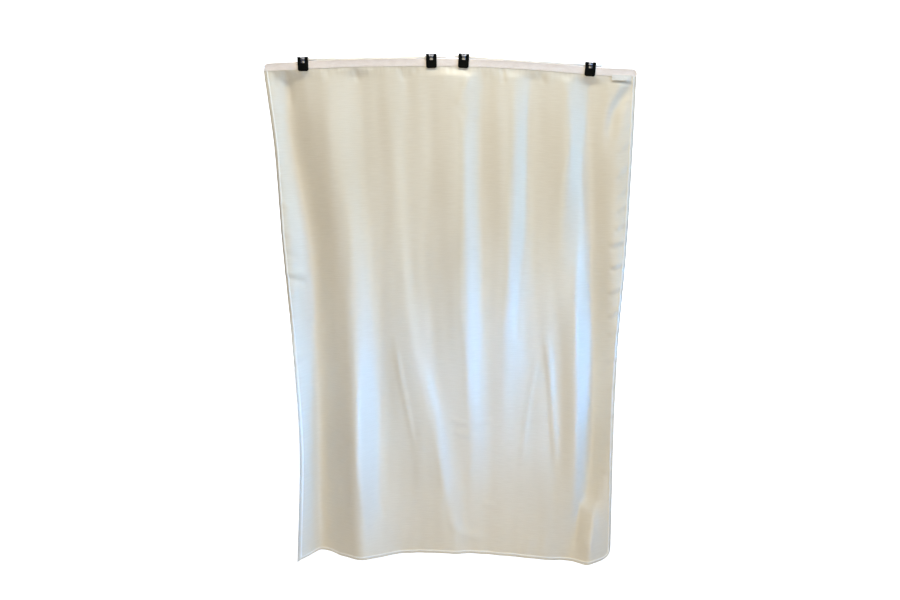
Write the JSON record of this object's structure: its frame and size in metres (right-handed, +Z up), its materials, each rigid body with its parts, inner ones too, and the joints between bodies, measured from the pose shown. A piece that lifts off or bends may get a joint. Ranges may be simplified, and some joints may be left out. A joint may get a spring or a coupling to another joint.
{
  "type": "worship flag on hanger clips and bars",
  "caption": "Plain ivory satin worship flag with a flat heading sleeve, hanging in soft folds from pinch clips on chrome hanger bars.",
  "frame": {"origin": "midway between the two hanger bars, where they are hung", "axes": "+Z up along the cloth's drop, +Y to the back through the cloth, +X to the right as seen from the front"},
  "size_m": [0.917, 0.0895, 1.3078],
  "materials": {
    "satin": "ivory satin weave",
    "sleeve_cloth": "matte plain weave",
    "label_tape": "woven tape, bare",
    "clip_plastic": "moulded black",
    "spring_steel": "bright spring steel",
    "bar_chrome": "polished"
  },
  "bodies": {
    "root": {"flag_panel": "satin", "heading": "sleeve_cloth", "label": "label_tape", "hanger_bar_left": "bar_chrome", "hanger_bar_right": "bar_chrome", "clip_1_front_jaw": "clip_plastic", "clip_1_back_jaw": "clip_plastic", "clip_1_spring": "spring_steel", "clip_2_front_jaw": "clip_plastic", "clip_2_back_jaw": "clip_plastic", "clip_2_spring": "spring_steel", "clip_3_front_jaw": "clip_plastic", "clip_3_back_jaw": "clip_plastic", "clip_3_spring": "spring_steel", "clip_4_front_jaw": "clip_plastic", "clip_4_back_jaw": "clip_plastic", "clip_4_spring": "spring_steel"}
  },
  "joints": []
}
